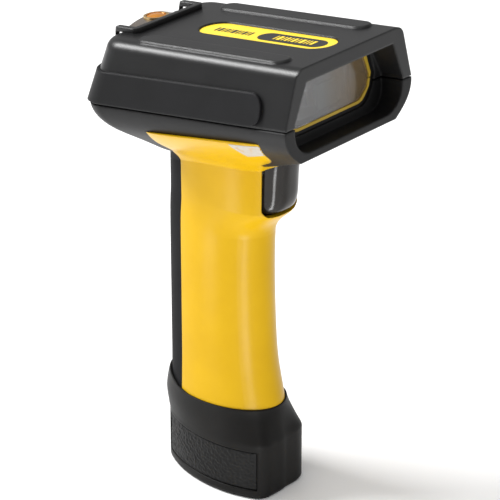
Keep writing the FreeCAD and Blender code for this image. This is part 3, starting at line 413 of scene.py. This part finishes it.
def make_grip_panels():
    """The stippled rubber panels on both sides of the boot, as rough as the real ones."""
    columns, rows = 150, 52
    margin = 0.00002         # keeps the outermost rays on the panel
    border_lift = -0.0001
    thickness = 0.0004
    ray_start = 0.05
    low, high = (Vector(corner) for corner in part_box("boot_grip_panels"))
    tree = tree_of("boot_grip_panels")
    work = bmesh.new()
    for side in (-1, 1):
        grid = []
        for i in range(columns + 1):
            y = low.y + margin + (high.y - low.y - 2 * margin) * i / columns
            line = []
            for j in range(rows + 1):
                z = low.z + margin + (high.z - low.z - 2 * margin) * j / rows
                start = Vector((side * ray_start, y, z))
                point, normal, _, _ = tree.ray_cast(start, Vector((-side, 0, 0)))
                on_border = i in (0, columns) or j in (0, rows)
                lift = border_lift if on_border else stipple(side, y, z)
                line.append((work.verts.new(point + normal * lift),
                             work.verts.new(point - normal * thickness)))
            grid.append(line)
        two_skins(work, grid)
        rim = [line[0] for line in grid] + grid[-1][1:]
        rim += [line[-1] for line in reversed(grid[:-1])] + grid[0][-2:0:-1]
        for start, end in zip(rim, rim[1:] + rim[:1]):
            work.faces.new((start[0], end[0], end[1], start[1]))
    piece = add_piece("stippled_panels", work, "panel")
    for polygon in piece.data.polygons:
        polygon.use_smooth = True
    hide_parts("boot_grip_panels")


# ---------------------------------------------------------------- stage, light and camera

def make_stage():
    """A pale floor just under the base, and a plain white surround."""
    bpy.ops.mesh.primitive_plane_add(size=6, location=(0, 0, -0.0002))
    floor = bpy.context.object
    floor.name = "Floor"
    look = Look("PaleFloor")
    look.colour(look.noise(3.0), [(0.3, (0.95, 0.95, 0.95)), (0.7, (0.97, 0.97, 0.97))])
    look.even({"Roughness": 0.8})
    floor.data.materials.append(look.material)

    world = bpy.data.worlds.new("Studio")
    world.use_nodes = True
    background = world.node_tree.nodes["Background"]
    background.inputs["Color"].default_value = (1, 1, 1, 1)
    background.inputs["Strength"].default_value = 0.45
    bpy.context.scene.world = world
    bpy.context.scene.view_settings.view_transform = "Standard"


def area_light(name, place, rotation, size, power):
    """A rectangular light."""
    lamp = bpy.data.lights.new(name, "AREA")
    lamp.shape = "RECTANGLE"
    lamp.size, lamp.size_y = size
    lamp.energy = power
    obj = bpy.data.objects.new(name, lamp)
    obj.location = place
    obj.rotation_euler = rotation
    bpy.context.collection.objects.link(obj)
    return obj


def soft_box(name, place, target, size, power):
    """A rectangular light turned to face a target."""
    facing = (Vector(target) - Vector(place)).to_track_quat("-Z", "Y").to_euler()
    area_light(name, place, facing, size, power)


def glow_card(name, turn, near, far, width, power):
    """A strip of light on the floor, running out from the object, that shows only as a reflection.

    The turn is in degrees from the nose towards the left.
    """
    turn = math.radians(turn)
    outward = Vector((-math.sin(turn), -math.cos(turn), 0))
    place = outward * (near + far) / 2 + Vector((0, 0, 0.001))
    face_up = (math.pi, 0, math.pi - turn)
    card = area_light(name, place, face_up, (width, far - near), power)
    card.visible_camera = False


def make_lights():
    """A broad light overhead, a strong one high at the back, a tall one near the camera, a weak
    one in front of the nose, and two cards that put reflections on the grip and the trigger."""
    middle = (0, 0, 0.11)
    soft_box("OverheadLight", place=(-0.25, 0.1, 1.5), target=middle, size=(1.6, 1.6), power=8)
    soft_box("EdgeLight", place=(-0.46, 1.05, 1.14), target=(0, 0, 0.18), size=(0.62, 0.42),
             power=30)
    soft_box("KeyLight", place=(-0.85, -1.15, 0.45), target=middle, size=(0.3, 0.9), power=2)
    soft_box("NoseLight", place=(0.6, -1.2, 0.4), target=middle, size=(0.5, 0.7), power=1)
    glow_card("GripCard", turn=44, near=0.10, far=0.34, width=0.04, power=0.36)
    glow_card("TriggerCard", turn=107, near=0.20, far=0.36, width=0.07, power=0.26)


def make_camera():
    """A long lens at the front left, looking down by 25 degrees."""
    turn, tilt = math.radians(50.0), math.radians(25.0)
    distance = 1.0
    sensor_width, focal_length = 36.0, 185.9472     # millimetres
    aim_rearward, aim_height, aim_aside = 2.3, 95.0, 9.8     # millimetres
    back = Vector((-math.sin(turn) * math.cos(tilt), -math.cos(turn) * math.cos(tilt),
                   math.sin(tilt)))
    right = Vector((math.cos(turn), -math.sin(turn), 0))
    aim = Vector((0, aim_rearward, aim_height)) * MM + right * aim_aside * MM
    data = bpy.data.cameras.new("Camera")
    data.sensor_width = sensor_width
    data.lens = focal_length
    camera = bpy.data.objects.new("Camera", data)
    camera.location = aim + back * distance
    camera.rotation_euler = (-back).to_track_quat("-Z", "Y").to_euler()
    bpy.context.collection.objects.link(camera)
    bpy.context.scene.camera = camera


dress_nodes()
make_label_print()
make_rating_label()
make_grip_panels()
make_stage()
make_lights()
make_camera()
